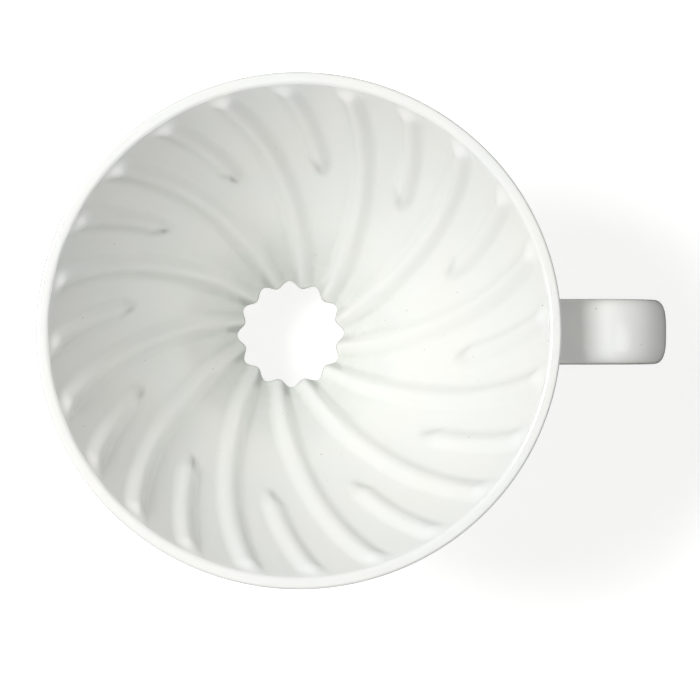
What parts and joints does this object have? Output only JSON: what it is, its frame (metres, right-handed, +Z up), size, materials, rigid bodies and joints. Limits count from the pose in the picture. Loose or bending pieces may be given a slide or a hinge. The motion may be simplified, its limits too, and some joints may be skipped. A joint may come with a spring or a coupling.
{
  "type": "pour over dripper",
  "caption": "White glazed porcelain cone dripper with long and short spiral ribs, a looped strap handle, and a saucer base with a centring ring.",
  "frame": {"origin": "on the cone's axis, in the plane of the centring ring's foot", "axes": "+Z up along the cone's axis towards the rim, +X from the axis out along the handle, +Y by the right-hand rule"},
  "size_m": [0.1425, 0.116, 0.102],
  "materials": {
    "white_glaze": "glossy clear glaze on white porcelain",
    "rib_glaze": "the same glaze, thinner over the crests and pooled in the creases",
    "base_glaze": "the same glaze, with the foot of the ring wiped bare"
  },
  "bodies": {
    "root": {"cone_wall": "white_glaze", "long_ribs": "rib_glaze", "short_ribs": "rib_glaze", "outlet_neck": "white_glaze", "base_plate": "white_glaze", "centring_ring": "base_glaze", "handle": "white_glaze"}
  },
  "joints": []
}
